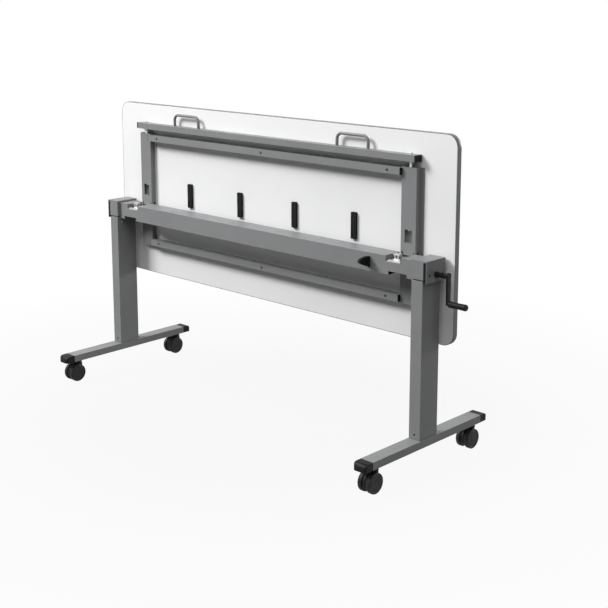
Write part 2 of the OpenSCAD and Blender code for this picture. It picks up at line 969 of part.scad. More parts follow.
module inner_column(side) {
    wall = column_wall;
    color("gray")
        at_end(side)
            difference() {
                block([column_x - inner_width / 2, inner_front, inner_z],
                    [column_x + inner_width / 2, inner_front + inner_depth, inner_top]);
                block([column_x - inner_width / 2 + wall, inner_front + wall, inner_z - over],
                    [column_x + inner_width / 2 - wall, inner_front + inner_depth - wall,
                        inner_top + over]);
                translate([0, 0, shaft_z])
                    rod_x(column_x - inner_width, column_x + inner_width, shaft_hole);
            }
}

module outer_column(side) {
    wall = column_wall;
    color("dimgray")
        at_end(side)
            difference() {
                union() {
                    block([column_x - column_width / 2, column_y, foot_top + seam_height],
                        [column_x + column_width / 2, column_y + column_depth, column_top]);
                    block([column_x - column_width / 2 + seam_depth, column_y + seam_depth,
                            foot_top],
                        [column_x + column_width / 2 - seam_depth,
                            column_y + column_depth - seam_depth, foot_top + seam_height]);
                }
                block([column_x - column_width / 2 + wall, column_y + wall, foot_top - over],
                    [column_x + column_width / 2 - wall, column_y + column_depth - wall,
                        column_top + over]);
            }
}

// Lift

// Teeth along a bevel gear's cone, which narrows to the share small
module gear_teeth_ring(small) {
    length = gear_radius * (1 - small) * sqrt(2);
    tooth = 1.2;
    foot = 1.6;
    crest = 0.8;
    for (i = [0:gear_teeth - 1])
        rotate([0, 0, i * 360 / gear_teeth])
            translate([gear_radius, 0, 0])
                rotate([0, -45, 0])
                    translate([-foot, -tooth / 2, 0])
                        cube([foot + crest, tooth, length]);
}

// Bevel gear on +Z with its cone's tip at z = gear_radius
module bevel_gear(bore) {
    root = 1.6;
    gear_back = 1.4;
    small = 0.7;
    difference() {
        union() {
            gear_teeth_ring(small);
            cylinder(r1 = gear_radius - root, r2 = gear_radius * small - root,
                h = gear_radius * (1 - small));
            translate([0, 0, -gear_back])
                cylinder(r = gear_radius - root, h = gear_back);
        }
        if (bore > 0)
            translate([0, 0, -5])
                cylinder(d = bore, h = gear_radius + 5);
    }
}

module shaft_gears() {
    color("silver")
        in_row()
            for (x = [-column_x, column_x])
                translate([x - gear_radius, 0, shaft_z])
                    rotate([0, 90, 0])
                        bevel_gear(shaft_diameter + 2 * running_fit);
}

module thread(length) {
    turns = floor(length / thread_lead);
    core = screw_diameter / 2 - thread_depth;
    crest = screw_diameter / 2;
    quarter = thread_lead / 4;
    rotate_extrude()
        polygon(concat(
            [[0, 0]],
            [
                for (i = [0:turns - 1], step = [0:3])
                    [step < 2 ? core : crest, i * thread_lead + step * quarter]
            ],
            [[core, turns * thread_lead], [core, length], [0, length]]
        ));
}

module lead_screw(side) {
    gear_z = shaft_z - gear_radius;
    color("silver")
        in_row()
            translate([side * column_x, 0, 0]) {
                translate([0, 0, screw_z])
                    thread(box_z - flat_gap - screw_z);
                translate([0, 0, box_z - over])
                    cylinder(d = journal, h = gear_z - box_z);
                translate([0, 0, gear_z])
                    rotate([0, 0, 180 / gear_teeth])
                        bevel_gear(0);
            }
}

module nut_post(side) {
    color("gold")
        in_row()
            translate([side * column_x, 0, 0])
                difference() {
                    translate([0, 0, foot_top])
                        cylinder(d = post_diameter, h = nut_z + lead_nut_height - foot_top);
                    translate([0, 0, foot_top + post_floor])
                        cylinder(d = post_bore, h = nut_z - foot_top - post_floor);
                    translate([0, 0, nut_z - over])
                        cylinder(d = screw_diameter + 2 * running_fit,
                            h = lead_nut_height + 2 * over);
                }
}

module drive_shaft() {
    color("silver")
        in_row()
            translate([0, 0, shaft_z])
                rod_x(-shaft_end, shaft_tip, shaft_diameter);
}

// Crank

module crank_arm() {
    color("black")
        in_row()
            translate([0, 0, shaft_z])
                difference() {
                    union() {
                        rod_x(hub_x, arm_x + over, hub_diameter);
                        rod_x(cover_in + over, hub_x + hub_collar, bush_diameter - 2 * running_fit);
                        translate([arm_x, 0, 0])
                            rotate([90, 0, 90])
                                linear_extrude(arm_thickness) {
                                    translate([0, arm_rise])
                                        circle(d = arm_width);
                                    translate([0, -crank_radius])
                                        circle(d = arm_tip_width);
                                    polygon([
                                        [-arm_width / 2, arm_rise], [arm_width / 2, arm_rise],
                                        [arm_tip_width / 2, -crank_radius],
                                        [-arm_tip_width / 2, -crank_radius]
                                    ]);
                                }
                    }
                    rod_x(cover_in, shaft_tip, shaft_diameter);
                    translate([0, 0, -crank_radius])
                        rod_x(arm_x - over, arm_x + arm_thickness + over, pin_thread);
                }
}

module grip_pin_bolt() {
    head_x = pin_head_end - pin_head_height;
    color("silver")
        in_row()
            translate([0, 0, shaft_z - crank_radius]) {
                rod_x(arm_x + arm_skin, arm_x + arm_thickness + over, pin_thread);
                rod_x(arm_x + arm_thickness, head_x, grip_pin);
                rod_x(head_x, pin_head_end, pin_head);
            }
}

module crank_grip() {
    bore = grip_pin / 2 + running_fit;
    room = pin_head / 2 + pin_head_play;
    seat = pin_head_end - pin_head_height - pin_head_play - grip_x;
    outer = grip_diameter / 2;
    waist = 0.6;
    round = 3;
    color("black")
        in_row()
            translate([grip_x, 0, shaft_z - crank_radius])
                rotate([0, 90, 0])
                    rotate_extrude()
                        polygon(concat(
                            [
                                [bore, 0],
                                [outer - round / 2, 0],
                                [outer, round / 2],
                                [outer - waist, grip_length / 2]
                            ],
                            [
                                for (turn = [0:30:90])
                                    [outer - round + round * cos(turn),
                                        grip_length - round + round * sin(turn)]
                            ],
                            [
                                [0, grip_length],
                                [0, grip_length - grip_skin],
                                [room, grip_length - grip_skin],
                                [room, seat],
                                [bore, seat]
                            ]
                        ));
}

// Feet

module foot(side) {
    wall = foot_wall;
    half = foot_length / 2;
    color("dimgray")
        at_end(side)
            translate([column_x, 0, foot_z])
                difference() {
                    block([-foot_width / 2, -half, 0], [foot_width / 2, half, foot_height]);
                    block([-foot_width / 2 + wall, -half - over, wall],
                        [foot_width / 2 - wall, half + over, foot_height - wall]);
                    for (y = [-stem_y, stem_y])
                        translate([0, y, -over])
                            cylinder(d = stem_diameter, h = wall + 2 * over);
                }
}

// Cap whose flange lies along Y from 0, with its plug on the other side
module foot_cap() {
    inside = foot_wall + push_fit;
    half = foot_width / 2;
    round_y = cap_length - cap_round;
    round_z = foot_height - cap_round;
    block([-half + inside, -plug_shank, inside], [half - inside, 0, foot_height - inside]);
    intersection() {
        linear_extrude(foot_height) {
            translate([-half, 0])
                square([foot_width, cap_length - cap_radius]);
            translate([-half + cap_radius, 0])
                square([foot_width - 2 * cap_radius, cap_length]);
            for (x = [-1, 1])
                translate([x * (half - cap_radius), cap_length - cap_radius])
                    circle(r = cap_radius);
        }
        translate([-half - over, 0, 0])
            rotate([90, 0, 90])
                linear_extrude(foot_width + 2 * over) {
                    square([round_y, foot_height]);
                    square([cap_length, round_z]);
                    translate([round_y, round_z])
                        circle(r = cap_round);
                }
    }
}

module foot_caps(side) {
    color("black")
        at_end(side)
            translate([column_x, 0, foot_z])
                for (turn = [0, 180])
                    rotate([0, 0, turn])
                        translate([0, foot_length / 2, 0])
                            foot_cap();
}

// Casters

module caster_stems(side) {
    stem_top_gap = 1;
    color("silver")
        at_end(side)
            for (y = [-stem_y, stem_y])
                translate([column_x, y, 0]) {
                    translate([0, 0, stem_z])
                        cylinder(d = stem_diameter,
                            h = foot_top - foot_wall - stem_top_gap - stem_z);
                    translate([0, 0, foot_z - flange_thickness])
                        cylinder(d = flange_diameter, h = flange_thickness);
                }
}

// Places a caster; local origin on the floor below the swivel axis
module at_caster(side, end) {
    in_row()
        translate([side * column_x, end * stem_y, 0])
            children();
}

module caster_body(side, end) {
    half = hood_width / 2;
    neck = crown_diameter / 2;
    round = axle_z - hood_inset;
    color("black")
        at_caster(side, end)
            difference() {
                union() {
                    translate([0, -caster_trail, axle_z])
                        rod_x(-half, half, 2 * round);
                    block([-half, -neck, axle_z - neck_drop], [half, neck, crown_z]);
                    translate([0, 0, crown_z])
                        cylinder(d = crown_diameter, h = crown_top - crown_z);
                }
                block([-half - over, -caster_trail - axle_z, -over],
                    [half + over, -caster_trail + axle_z, hood_floor]);
                translate([0, 0, stem_z - over])
                    cylinder(d = stem_diameter + 2 * running_fit, h = foot_z);
                translate([0, -caster_trail, axle_z])
                    rod_x(-half - over, half + over, axle_diameter + 2 * running_fit);
            }
}

// Half of a wheel's section, as distance from the axle and along it
module wheel_profile() {
    r = wheel_diameter / 2;
    hub = axle_diameter / 2 - over;
    groove = 1.2;
    disc = r - rim_width;
    polygon(concat(
        [[hub, wheel_in]],
        [for (turn = [-90:30:0]) tread_point(r, turn, wheel_in + tread_round)],
        [for (turn = [0:30:90]) tread_point(r, turn, wheel_out - tread_round)],
        [
            [disc + groove, wheel_out],
            [disc, wheel_out - groove],
            [disc - groove, wheel_out],
            [hub, wheel_out]
        ]
    ));
}

function tread_point(r, turn, place) = [
    r - tread_round + tread_round * cos(turn),
    place + tread_round * sin(turn)
];

module wheels(side, end) {
    color("black")
        at_caster(side, end)
            translate([0, -caster_trail, axle_z]) {
                rod_x(-wheel_out, wheel_out, axle_diameter);
                for (turn = [-90, 90])
                    rotate([0, turn, 0])
                        rotate_extrude()
                            wheel_profile();
            }
}

panel();
edge_band();
rail(-1);  // rail_left
rail(1);  // rail_right
cross_rail(1);  // cross_rail_upper
cross_rail(-1);  // cross_rail_lower
cross_plugs();
underside_screws();
rest_pads();
rod_guides();
release_bar();
bar_caps();
bar_handle(-1);  // bar_handle_left
bar_handle(1);  // bar_handle_right
latch_rods();
rod_nuts();
hinge(-1);  // hinge_left
hinge(1);  // hinge_right
hinge_pins();
hinge_screws();
beam();
bracket(-1);  // bracket_left
bracket(1);  // bracket_right
head(-1);  // head_left
head(1);  // head_right
head_spacers();
cover(-1);  // cover_left
cover(1);  // cover_right
cover_screws();
gearbox(-1);  // gearbox_left
gearbox(1);  // gearbox_right
inner_column(-1);  // inner_column_left
inner_column(1);  // inner_column_right
bag_hook();
drive_shaft();
shaft_gears();
crank_arm();
grip_pin_bolt();
crank_grip();
lead_screw(-1);  // lead_screw_left
lead_screw(1);  // lead_screw_right
outer_column(-1);  // outer_column_left
outer_column(1);  // outer_column_right
foot(-1);  // foot_left
foot(1);  // foot_right
foot_caps(-1);  // foot_caps_left
foot_caps(1);  // foot_caps_right
nut_post(-1);  // nut_post_left
nut_post(1);  // nut_post_right
caster_stems(-1);  // caster_stems_left
caster_stems(1);  // caster_stems_right
caster_body(-1, -1);  // caster_front_left
caster_body(1, -1);  // caster_front_right
caster_body(-1, 1);  // caster_back_left
caster_body(1, 1);  // caster_back_right
wheels(-1, -1);  // wheels_front_left
wheels(1, -1);  // wheels_front_right
wheels(-1, 1);  // wheels_back_left
wheels(1, 1);  // wheels_back_right
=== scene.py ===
import json
import math

import bmesh
import bpy
from mathutils import Matrix, Vector

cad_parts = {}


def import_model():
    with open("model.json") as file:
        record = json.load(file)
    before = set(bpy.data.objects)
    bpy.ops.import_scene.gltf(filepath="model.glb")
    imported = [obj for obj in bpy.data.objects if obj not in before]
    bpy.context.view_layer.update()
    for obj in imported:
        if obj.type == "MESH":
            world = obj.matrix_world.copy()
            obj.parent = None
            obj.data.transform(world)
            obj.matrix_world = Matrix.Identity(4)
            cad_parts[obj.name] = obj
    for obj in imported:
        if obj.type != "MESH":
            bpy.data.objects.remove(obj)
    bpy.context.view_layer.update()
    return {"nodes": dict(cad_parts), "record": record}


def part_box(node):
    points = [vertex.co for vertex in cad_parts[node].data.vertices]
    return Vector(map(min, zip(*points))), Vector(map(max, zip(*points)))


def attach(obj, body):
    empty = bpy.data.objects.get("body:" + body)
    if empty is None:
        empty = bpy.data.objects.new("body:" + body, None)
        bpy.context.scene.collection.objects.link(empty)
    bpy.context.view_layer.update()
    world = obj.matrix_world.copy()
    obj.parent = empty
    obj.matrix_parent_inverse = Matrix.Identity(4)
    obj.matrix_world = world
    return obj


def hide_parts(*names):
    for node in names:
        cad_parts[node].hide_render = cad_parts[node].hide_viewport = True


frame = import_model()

NODES = frame["nodes"]
SLOTS = {part["node"]: part["material_slot"] for part in frame["record"]["subparts"]}
MM = 0.001
COLUMN_LEFT, COLUMN_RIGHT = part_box("outer_column_left"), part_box("outer_column_right")
TABLE_X = (COLUMN_LEFT[0][0] + COLUMN_RIGHT[1][0]) / 2

# Camera, as fitted to the photograph, with its place measured from the table's middle
CAMERA_PLACE = (2.8124, -2.7120, 1.4432)
CAMERA_AZIMUTH = 43.64
CAMERA_ELEVATION = 10.67
CAMERA_LENS = 68.77
CAMERA_SHIFT_Y = -0.15
SENSOR_WIDTH = 36.0

# Lamps: name, place, target, size, watts
LAMPS = (
    ("key", (-4.2, -4.4, 5.6), (0.0, 0.0, 0.6), (2.6, 2.6), 650.0),
    ("back", (1.0, 9.0, 2.2), (0.0, 0.0, 0.9), (5.0, 3.0), 900.0),
    ("overhead", (0.2, -2.3, 4.1), (0.2, -2.3, 0.0), (13.0, 4.0), 330.0),
)
AMBIENT = 0.01

# Floor: half its side, its albedo, and where and how much it glows towards the camera
FLOOR_HALF = 220.0
FLOOR_ALBEDO = 0.12
FLOOR_FADE_START, FLOOR_FADE_END = 0.5, 2.0
FLOOR_GLOW_NEAR = 0.92

# Screws; the head's shares are of its radius and the crown's are of its height
SCREW_SIDES = 36
DOME_STEPS = 4
SOCKET_SHARE = 0.40
HEAD_FLAT_SHARE = 0.62
SCREW_CROWN = 0.55
SHANK_RADIUS = 2.0 * MM
COVER_SCREW_HEAD = 1.0 * MM
HINGE_SCREW_HEAD = 1.7 * MM
HINGE_SCREW_CROWN = 0.2
COLUMN_SCREW_RADIUS = 3.0 * MM
COLUMN_SCREW_HEAD = 1.2 * MM
COLUMN_SCREW_LENGTH = 7.0 * MM
COLUMN_SCREW_RISE = 17.0 * MM
GLIDE_SCREW_INSET = 20.0 * MM
GLIDE_SCREW_LENGTH = 1.5 * MM

# Black blocks in the beam's ends, standing for the shade inside the open ends (painted shade), and
# welds
LIP_HEIGHT = 11.0 * MM
INSERT_PLAY = 2.2 * MM
INSERT_INSET = 1.0 * MM
INSERT_LENGTH = 24.0 * MM
INSERT_RIM = 1.5 * MM
INSERT_RECESS = 2.0 * MM
INSERT_EDGE = 0.4 * MM
WELD_BEAD = 1.5 * MM
WELD_RIPPLES = 18
WELD_RIPPLE_SHARE = 0.12

# Mesh clean-up
WELD_DISTANCE = 1e-6
FLAT_ANGLE = 0.2
SHARP_ANGLE = 40
SMOOTH_ANGLE = 35.0

# Painted shade: the worktop's upper face is painted greyer within this depth of it, so that the top
# light does not clip it
UPPER_SHADE_START, UPPER_SHADE_FULL = 0.5 * MM, 0.2 * MM
UPPER_FACE_SHADE_COLOR = (0.50, 0.502, 0.505)


# Node helpers

class Shader:
    """A node material under construction; its methods add nodes and return sockets."""

    def __init__(self, name, color, roughness, metallic=0.0):
        self.material = bpy.data.materials.new(name)
        self.material.use_nodes = True
        self.tree = self.material.node_tree
        self.principled = self.tree.nodes["Principled BSDF"]
        self.coordinates = self.tree.nodes.new("ShaderNodeTexCoord").outputs["Object"]
        self.set("Base Color", (*color, 1.0))
        self.set("Roughness", roughness)
        self.set("Metallic", metallic)
        self.material.diffuse_color = (*color, 1.0)

    def set(self, socket, value):
        self.principled.inputs[socket].default_value = value

    def link(self, output, target):
        self.tree.links.new(output, target)

    def feed(self, output, socket):
        self.link(output, self.principled.inputs[socket])

    def stretched(self, scale):
        """Object coordinates times a factor along each axis."""
        mapping = self.tree.nodes.new("ShaderNodeMapping")
        mapping.inputs["Scale"].default_value = scale
        self.link(self.coordinates, mapping.inputs["Vector"])
        return mapping.outputs["Vector"]

    def noise(self, scale, detail=2.0, roughness=0.5, vector=None):
        texture = self.tree.nodes.new("ShaderNodeTexNoise")
        texture.inputs["Scale"].default_value = scale
        texture.inputs["Detail"].default_value = detail
        texture.inputs["Roughness"].default_value = roughness
        self.link(vector or self.coordinates, texture.inputs["Vector"])
        return texture.outputs["Fac"]

    def voronoi(self, scale):
        texture = self.tree.nodes.new("ShaderNodeTexVoronoi")
        texture.inputs["Scale"].default_value = scale
        self.link(self.coordinates, texture.inputs["Vector"])
        return texture.outputs["Distance"]

    def remap(self, value, low_in, high_in, low_out, high_out):
        node = self.tree.nodes.new("ShaderNodeMapRange")
        node.inputs["From Min"].default_value = low_in
        node.inputs["From Max"].default_value = high_in
        node.inputs["To Min"].default_value = low_out
        node.inputs["To Max"].default_value = high_out
        self.link(value, node.inputs["Value"])
        return node.outputs["Result"]

    def mix(self, factor, first, second):
        """Mixes two colours, each a tuple or a socket."""
        node = self.tree.nodes.new("ShaderNodeMix")
        node.data_type = "RGBA"
        self.link(factor, node.inputs["Factor"])
        for value, socket in ((first, node.inputs[6]), (second, node.inputs[7])):
            if isinstance(value, tuple):
                socket.default_value = (*value, 1.0)
            else:
                self.link(value, socket)
        return node.outputs[2]

    def bump(self, *layers):
        """Stacks (height, strength, distance in metres) layers and feeds the shader's normal."""
        normal = None
        for height, strength, distance in layers:
            node = self.tree.nodes.new("ShaderNodeBump")
            node.inputs["Strength"].default_value = strength
            node.inputs["Distance"].default_value = distance
            self.link(height, node.inputs["Height"])
            if normal:
                self.link(normal, node.inputs["Normal"])
            normal = node.outputs["Normal"]
        self.feed(normal, "Normal")


# Materials

def white_laminate():
    """White laminate with a fine pearl grain; the worktop's upper face is painted greyer: painted
    shade, so that the top light does not clip it.
    """
    s = Shader("white_laminate", (0.76, 0.76, 0.76), 0.42)
    s.set("Specular IOR Level", 0.25)
    cloud = s.noise(3.0, 4.0, 0.6)
    speck = s.noise(900.0, 1.0)
    white = s.mix(s.remap(cloud, 0.35, 0.7, 0.0, 1.0), (0.80, 0.80, 0.802), (0.77, 0.772, 0.775))
    upper = max(vertex.co.y for vertex in NODES["panel"].data.vertices)
    depth = s.tree.nodes.new("ShaderNodeSeparateXYZ")
    s.link(s.coordinates, depth.inputs["Vector"])
    # Painted shade: the worktop's upper face takes the greyer colour, standing in for less light
    # there
    upper_shade_mask = s.remap(depth.outputs["Y"], upper - UPPER_SHADE_START, upper - UPPER_SHADE_FULL,
                       0.0, 1.0)
    shaded_white = s.mix(upper_shade_mask, white, UPPER_FACE_SHADE_COLOR)
    s.feed(s.mix(s.remap(speck, 0.62, 0.75, 0.0, 0.35), shaded_white, (0.66, 0.66, 0.66)), "Base Color")
    s.feed(s.remap(s.noise(14.0, 5.0, 0.7), 0.3, 0.7, 0.36, 0.50), "Roughness")
    s.bump((s.noise(700.0, 2.0), 0.12, 0.0002), (s.noise(9.0, 2.0), 0.05, 0.001))
    return s.material


def edge_band():
    """Grey plastic strip with a fine grain along its length."""
    s = Shader("grey_edge_band", (0.16, 0.163, 0.167), 0.45)
    s.set("Specular IOR Level", 0.3)
    grain = s.noise(60.0, 3.0, 0.6, s.stretched((0.15, 12.0, 0.15)))
    s.feed(s.mix(s.remap(grain, 0.3, 0.7, 0.0, 1.0), (0.15, 0.153, 0.157), (0.19, 0.193, 0.197)),
           "Base Color")
    s.feed(s.remap(s.noise(30.0, 4.0), 0.3, 0.7, 0.38, 0.55), "Roughness")
    s.bump((s.noise(800.0, 2.0), 0.15, 0.0002))
    return s.material


def paint(name, dark, light, roughness):
    """Satin powder coat: fine orange peel, metallic flakes and a few dull patches."""
    s = Shader(name, dark, roughness)
    s.set("Specular IOR Level", 0.25)
    cloud = s.remap(s.noise(5.0, 4.0, 0.6), 0.35, 0.68, 0.0, 1.0)
    flake = s.remap(s.noise(2600.0, 1.0), 0.45, 0.75, 0.0, 0.5)
    base = s.mix(cloud, dark, light)
    s.feed(s.mix(flake, base, tuple(1.45 * c for c in light)), "Base Color")
    s.feed(s.remap(s.noise(22.0, 5.0, 0.65), 0.3, 0.7, roughness - 0.06, roughness + 0.10),
           "Roughness")
    s.bump((s.noise(650.0, 2.0), 0.22, 0.00025), (s.noise(180.0, 2.0), 0.08, 0.0006))
    return s.material


def black_plastic():
    """Moulded plastic with a spark-eroded texture and light scuffs."""
    s = Shader("black_plastic", (0.006, 0.006, 0.0065), 0.48)
    s.set("Specular IOR Level", 0.13)
    scuff = s.remap(s.noise(90.0, 6.0, 0.75, s.stretched((1.0, 1.0, 0.25))), 0.58, 0.78, 0.0, 0.8)
    s.feed(s.mix(scuff, (0.005, 0.005, 0.0055), (0.018, 0.018, 0.019)), "Base Color")
    s.feed(s.remap(s.noise(45.0, 4.0, 0.6), 0.3, 0.7, 0.41, 0.60), "Roughness")
    s.bump((s.voronoi(1400.0), 0.18, 0.0002), (s.noise(300.0, 2.0), 0.06, 0.0004))
    return s.material


def tyre():
    """Hard wheel tread, dusty where it has rolled."""
    s = Shader("black_tyre", (0.010, 0.010, 0.011), 0.55)
    s.set("Specular IOR Level", 0.2)
    dust = s.remap(s.noise(140.0, 6.0, 0.7), 0.5, 0.75, 0.0, 0.7)
    s.feed(s.mix(dust, (0.010, 0.010, 0.011), (0.038, 0.037, 0.035)), "Base Color")
    s.feed(s.remap(s.noise(60.0, 4.0), 0.3, 0.7, 0.42, 0.68), "Roughness")
    s.bump((s.noise(900.0, 3.0), 0.25, 0.0002))
    return s.material


def zinc(name, color, roughness):
    """Bright metal with a faint spangle and drawn lines."""
    s = Shader(name, color, roughness, 1.0)
    spangle = s.remap(s.voronoi(220.0), 0.1, 0.7, 0.0, 1.0)
    warm = tuple(c * k for c, k in zip(color, (0.92, 0.90, 0.84)))
    s.feed(s.mix(spangle, color, warm), "Base Color")
    s.feed(s.remap(s.noise(120.0, 4.0, 0.7), 0.3, 0.75, roughness - 0.07, roughness + 0.16),
           "Roughness")
    s.bump((s.noise(900.0, 2.0, 0.5, s.stretched((1.0, 0.08, 0.08))), 0.12, 0.0002))
    return s.material


def black_steel():
    """Screws with a black finish, rubbed bright in places by the driver."""
    s = Shader("black_steel", (0.012, 0.012, 0.0125), 0.45)
    s.set("Specular IOR Level", 0.2)
    rub = s.remap(s.noise(400.0, 4.0, 0.7), 0.55, 0.75, 0.0, 0.6)
    s.feed(s.mix(rub, (0.010, 0.010, 0.0105), (0.045, 0.045, 0.047)), "Base Color")
    s.feed(s.remap(s.noise(200.0, 3.0), 0.3, 0.7, 0.38, 0.55), "Roughness")
    s.bump((s.noise(1200.0, 2.0), 0.15, 0.0001))
    return s.material


def dark_tube():
    """Drawn tube, phosphated black and oiled, with faint streaks along its length."""
    s = Shader("dark_steel_tube", (0.022, 0.022, 0.023), 0.38, 0.3)
    streak = s.remap(s.noise(40.0, 4.0, 0.6, s.stretched((6.0, 6.0, 0.12))), 0.35, 0.7, 0.0, 1.0)
    s.feed(s.mix(streak, (0.020, 0.020, 0.021), (0.045, 0.044, 0.043)), "Base Color")
    s.feed(s.remap(s.noise(70.0, 4.0), 0.3, 0.7, 0.30, 0.5), "Roughness")
    s.bump((s.noise(600.0, 2.0, 0.5, s.stretched((1.0, 1.0, 0.05))), 0.2, 0.0002))
    return s.material


def brass():
    """Brass with tarnished patches and turned lines."""
    s = Shader("brass", (0.62, 0.47, 0.22), 0.33, 1.0)
    tarnish = s.remap(s.noise(50.0, 4.0), 0.4, 0.7, 0.0, 1.0)
    s.feed(s.mix(tarnish, (0.64, 0.48, 0.22), (0.42, 0.30, 0.14)), "Base Color")
    s.feed(s.remap(s.noise(80.0, 4.0), 0.3, 0.7, 0.26, 0.45), "Roughness")
    s.bump((s.noise(700.0, 2.0, 0.5, s.stretched((1.0, 1.0, 0.05))), 0.15, 0.0002))
    return s.material


MATERIALS = {
    "white_laminate": white_laminate(),
    "grey_edge_band": edge_band(),
    "grey_paint": paint("grey_paint", (0.178, 0.180, 0.183), (0.200, 0.202, 0.205), 0.45),
    "black_plastic": black_plastic(),
    "black_tyre": tyre(),
    "zinc_steel": zinc("zinc_steel", (0.56, 0.57, 0.58), 0.42),
    "black_steel": black_steel(),
    "dark_steel_tube": dark_tube(),
    "die_cast": zinc("die_cast", (0.58, 0.59, 0.60), 0.45),
    "brass": brass(),
}
# Painted highlight: a lighter, glossier grey for the rounds of painted edges, standing for the
# bright lines the light leaves along them
EDGE_HIGHLIGHT_PAINT = paint("grey_paint_edge_highlight", (0.22, 0.223, 0.227), (0.26, 0.263, 0.267), 0.36)

# Edge radii of the carried-over nodes, in millimetres, by material slot
EDGE_RADIUS = {
    "white_laminate": 0.3,
    "grey_edge_band": 0.8,
    "grey_paint": 1.2,
    "black_plastic": 0.9,
    "black_tyre": 0.6,
    "zinc_steel": 0.5,
    "black_steel": 0.4,
    "dark_steel_tube": 0.5,
    "die_cast": 0.8,
    "brass": 0.4,
}
# Wider radii of the tubes and folded sheets
TUBES = {"beam": 2.5, "outer_column_left": 3.0, "outer_column_right": 3.0, "foot_left": 2.5,
         "foot_right": 2.5, "release_bar": 2.5, "cross_rail_upper": 1.8, "cross_rail_lower": 1.8,
         "rail_left": 1.8, "rail_right": 1.8, "bracket_left": 2.0, "bracket_right": 2.0,
         "head_left": 2.5, "head_right": 2.5, "cover_left": 1.2, "cover_right": 1.2}


def soften(piece, radius_mm, highlight_slot=0):
    """Welds the mesh and rounds its sharp edges; the round may take a material slot of its own, a
    lighter paint that is a painted edge highlight.
    """
    weld = piece.modifiers.new("weld", "WELD")
    weld.merge_threshold = WELD_DISTANCE
    flat = piece.modifiers.new("join_flat_faces", "DECIMATE")
    flat.decimate_type = "DISSOLVE"
    flat.angle_limit = math.radians(FLAT_ANGLE)
    bevel = piece.modifiers.new("round", "BEVEL")
    bevel.width = radius_mm * MM
    bevel.segments = 2
    bevel.limit_method = "ANGLE"
    bevel.angle_limit = math.radians(SHARP_ANGLE)
    bevel.use_clamp_overlap = True
    bevel.harden_normals = True
    if highlight_slot:
        bevel.material = highlight_slot


def dress_nodes():
    for name, node in NODES.items():
        slot = SLOTS[name]
        node.data.materials.clear()
        node.data.materials.append(MATERIALS[slot])
        highlight_index = 0
        # Grey paint gets a second slot for its rounds: the lighter paint of the painted edge
        # highlight
        if slot == "grey_paint":
            node.data.materials.append(EDGE_HIGHLIGHT_PAINT)
            highlight_index = 1
        soften(node, TUBES.get(name, EDGE_RADIUS[slot]), highlight_index)


# Detailed pieces

def new_piece(name, mesh, slot, body):
    """Links a mesh as a piece with its slot's material, riding on a body."""
    piece = bpy.data.objects.new(name, mesh)
    bpy.context.scene.collection.objects.link(piece)
    mesh.materials.append(MATERIALS[slot])
    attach(piece, body)
    return piece


def loose_parts(node_name):
    """Corners of the box round each separate solid of a node."""
    work = bmesh.new()
    work.from_mesh(NODES[node_name].data)
    bmesh.ops.remove_doubles(work, verts=work.verts, dist=WELD_DISTANCE)
    left = set(work.verts)
    boxes = []
    while left:
        front = [left.pop()]
        found = list(front)
        while front:
            vertex = front.pop()
            for edge in vertex.link_edges:
                other = edge.other_vert(vertex)
                if other in left:
                    left.remove(other)
                    front.append(other)
                    found.append(other)
        low = Vector([min(v.co[i] for v in found) for i in range(3)])
        high = Vector([max(v.co[i] for v in found) for i in range(3)])
        boxes.append((low, high))
    work.free()
    return sorted(boxes, key=lambda box: tuple(round(c, 4) for c in box[0]))


def ring(work, frame_matrix, height, radius_at):
    """Vertices round the screw's axis at a height; radius_at gives the radius at each turn."""
    points = []
    for i in range(SCREW_SIDES):
        turn = 2 * math.pi * i / SCREW_SIDES
        radius = radius_at(turn)
        point = Vector((radius * math.cos(turn), radius * math.sin(turn), height))
        points.append(work.verts.new(frame_matrix @ point))
    return points


def hexagon(apothem):
    """Radius of a hexagon at each turn."""
    sixth = math.pi / 3
    return lambda turn: apothem / math.cos((turn + sixth / 2) % sixth - sixth / 2)


def add_screw(work, seat, direction, head_radius, head_height, shank_radius, length,
              crown=SCREW_CROWN):
    """Button-head screw with a hexagon socket: seat is its head's lower middle."""
    turned = direction.to_track_quat("Z", "Y").to_matrix().to_4x4()
    place = Matrix.Translation(seat) @ turned
    socket = SOCKET_SHARE * head_radius
    dome = crown * head_height
    rings = [(-length, lambda t: 0.7 * shank_radius),
             (-length + 0.3 * shank_radius, lambda t: shank_radius),
             (0.0, lambda t: shank_radius),
             (0.0, lambda t: head_radius)]
    for step in range(DOME_STEPS + 1):
        turn = math.pi / 2 * step / DOME_STEPS
        radius = head_radius * (HEAD_FLAT_SHARE + (1 - HEAD_FLAT_SHARE) * math.cos(turn))
        height = head_height - dome + dome * math.sin(turn)
        rings.append((height, lambda t, radius=radius: radius))
    rings.append((head_height, hexagon(1.12 * socket)))
    rings.append((0.88 * head_height, hexagon(socket)))
    rings.append((0.25 * head_height, hexagon(socket)))
    rings.append((0.12 * head_height, lambda t: 0.3 * socket))
    loops = [ring(work, place, height, radius_at) for height, radius_at in rings]
    for lower, upper in zip(loops, loops[1:]):
        for i in range(SCREW_SIDES):
            j = (i + 1) % SCREW_SIDES
            work.faces.new((lower[i], lower[j], upper[j], upper[i]))
    work.faces.new(loops[0][::-1])
    work.faces.new(loops[-1])


def finish_mesh(work, name, smooth_angle=SMOOTH_ANGLE):
    """Turns a bmesh into a smooth-shaded mesh with its sharp edges marked."""
    bmesh.ops.recalc_face_normals(work, faces=work.faces)
    mesh = bpy.data.meshes.new(name)
    work.to_mesh(mesh)
    work.free()
    mesh.shade_smooth()
    mesh.set_sharp_from_angle(angle=math.radians(smooth_angle))
    return mesh


